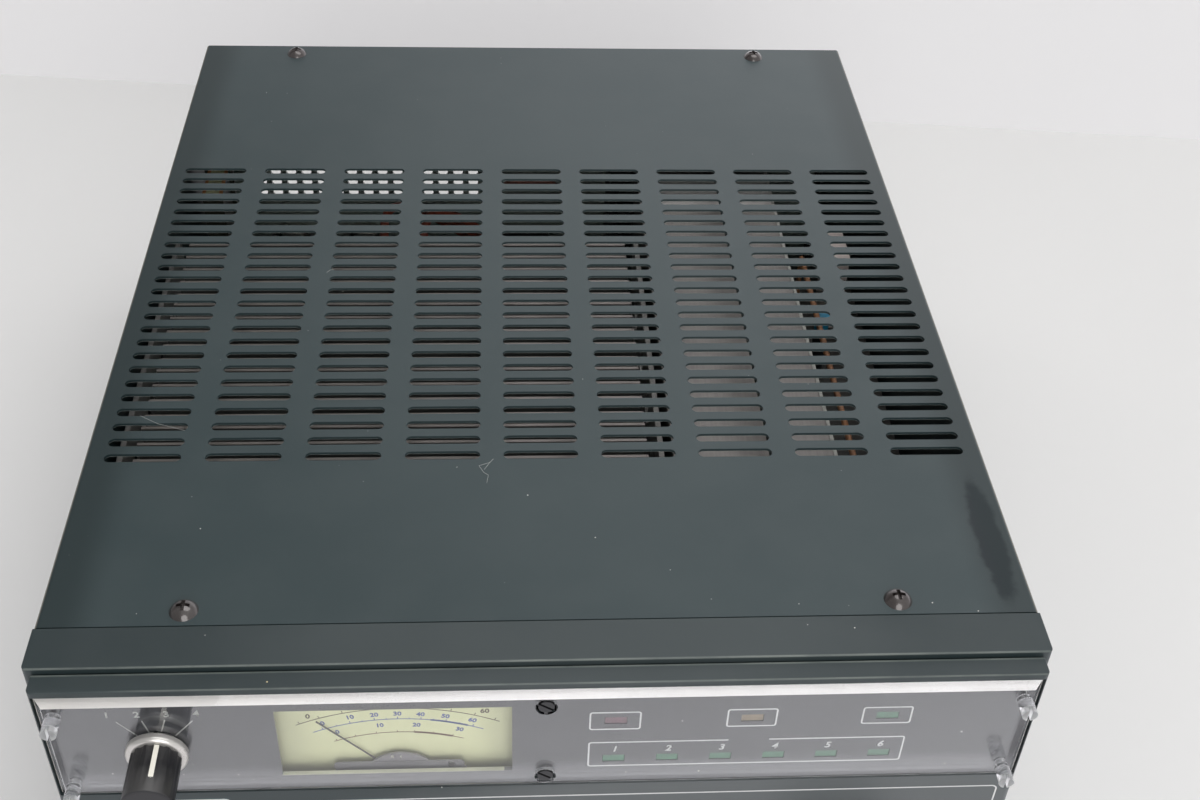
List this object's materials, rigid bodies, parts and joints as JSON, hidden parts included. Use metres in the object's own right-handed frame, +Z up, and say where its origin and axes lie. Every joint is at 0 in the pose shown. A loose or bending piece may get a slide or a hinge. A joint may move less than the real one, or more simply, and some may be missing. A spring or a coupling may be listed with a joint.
{
  "type": "radio linear amplifier",
  "caption": "Free-standing radio power amplifier: flat slotted case, clear window over a meter and lamps, selector knobs, rear fan and connectors.",
  "frame": {"origin": "on the desk under the middle of the overall length and width", "axes": "+X to the right seen from the front, +Y to the back, +Z up"},
  "size_m": [0.2442, 0.3362, 0.1221],
  "materials": {
    "case_paint": "satin dark green-grey",
    "bezel_paint": "satin dark green-grey",
    "plated_steel": "plated sheet",
    "black_screw": "black oxide",
    "rubber_black": "matte",
    "clear_acrylic": "clear, polished",
    "panel_print": "dark grey printed",
    "clear_post": "clear plastic",
    "dark_screw": "dark plated",
    "lamp_red": "red lens",
    "lamp_amber": "amber lens",
    "lamp_green": "green lens",
    "board_green": "circuit board",
    "meter_case": "pale moulding",
    "dial_cream": "pale yellow-green printed",
    "needle_black": "matte black",
    "pivot_dark": "dark translucent",
    "magnet_grey": "magnet and yoke",
    "switch_metal": "plated",
    "shaft_metal": "turned",
    "knob_black": "satin black",
    "ring_bright": "turned, bright",
    "pointer_cream": "cream paint",
    "switch_black": "black",
    "button_grey": "grey",
    "sink_aluminium": "raw extrusion",
    "ferrite": "ferrite",
    "device_ceramic": "ceramic and gold",
    "shield_tin": "dusty sheet",
    "copper": "copper",
    "ceramic_white": "white ceramic",
    "cap_blue": "blue sleeve",
    "relay_case": "amber case",
    "part_black": "black parts",
    "wire_red": "red insulation",
    "fan_black": "black",
    "connector_nickel": "nickel plate",
    "insulator": "pale insulator",
    "contact_brass": "plated brass",
    "socket_black": "black"
  },
  "bodies": {
    "chassis": {"top_cover": "case_paint", "case_screws": "black_screw", "base_tray": "case_paint", "front_frame": "plated_steel", "rear_panel": "case_paint", "feet": "rubber_black", "foot_screws": "black_screw", "front_bezel": "bezel_paint", "window": "clear_acrylic", "printed_panel": "panel_print", "window_posts": "clear_post", "window_screws": "dark_screw", "lamp_red": "lamp_red", "lamp_amber": "lamp_amber", "lamps_green": "lamp_green", "lamp_board": "board_green", "meter_case": "meter_case", "meter_dial": "dial_cream", "meter_pivot_cover": "pivot_dark", "meter_movement": "magnet_grey", "meter_switch": "switch_metal", "band_switch": "switch_metal", "power_switch": "switch_black", "button_housing": "switch_black", "heat_sink": "sink_aluminium", "sink_brackets": "plated_steel", "pa_board": "board_green", "pa_transistors": "device_ceramic", "pa_transformers": "ferrite", "shield_box": "shield_tin", "shield_lids": "shield_tin", "filter_board": "board_green", "copper_line": "copper", "ceramic_block": "ceramic_white", "blue_capacitor": "cap_blue", "rear_relay": "relay_case", "control_board": "board_green", "board_parts": "part_black", "supply_wires": "wire_red", "fan_frame": "fan_black", "fan_screws": "black_screw", "coax_sockets": "connector_nickel", "coax_insulators": "insulator", "rear_contacts": "contact_brass", "dc_inlet": "socket_black", "control_socket": "socket_black", "earth_stud": "contact_brass"},
    "meter_selector": {"meter_shaft": "shaft_metal", "meter_knob": "knob_black", "meter_knob_ring": "ring_bright", "meter_knob_pointer": "pointer_cream"},
    "band_selector": {"band_shaft": "shaft_metal", "band_knob": "knob_black", "band_knob_pointer": "pointer_cream"},
    "needle": {"meter_needle": "needle_black"},
    "rocker": {"power_rocker": "switch_black"},
    "mode_key": {"mode_button": "button_grey"},
    "reset_key": {"reset_button": "button_grey"},
    "fan_wheel": {"fan_rotor": "fan_black"},
    "thumb_nut": {"earth_nut": "connector_nickel"}
  },
  "joints": [
    {"name": "meter_selector_turn", "type": "hinge", "parent": "chassis", "child": "meter_selector", "pos_m": [-0.0914, -0.15793, 0.098], "axis": [0, 1, 0], "range_deg": [-60, 30]},
    {"name": "band_selector_turn", "type": "hinge", "parent": "chassis", "child": "band_selector", "pos_m": [0.078, -0.15682, 0.044], "axis": [0, 1, 0], "range_deg": [-75, 75]},
    {"name": "needle_swing", "type": "hinge", "parent": "chassis", "child": "needle", "pos_m": [-0.0355, -0.14602, 0.0793], "axis": [0, 1, 0], "range_deg": [0, 84], "stiffness_Nm_per_rad": 0.001},
    {"name": "rocker_tilt", "type": "hinge", "parent": "chassis", "child": "rocker", "pos_m": [-0.0957, -0.14783, 0.045], "axis": [1, 0, 0], "range_deg": [-22, 0]},
    {"name": "mode_key_push", "type": "slide", "parent": "chassis", "child": "mode_key", "axis": [0, 1, 0], "range_m": [0, 0.003]},
    {"name": "reset_key_push", "type": "slide", "parent": "chassis", "child": "reset_key", "axis": [0, 1, 0], "range_m": [0, 0.003], "stiffness_N_per_m": 300, "springref_m": -0.0005},
    {"name": "fan_spin", "type": "hinge", "parent": "chassis", "child": "fan_wheel", "pos_m": [0.062, 0.14208, 0.064], "axis": [0, 1, 0], "continuous": true},
    {"name": "thumb_nut_turn", "type": "hinge", "parent": "chassis", "child": "thumb_nut", "pos_m": [-0.038, 0.15807, 0.026], "axis": [0, 1, 0], "continuous": true}
  ]
}
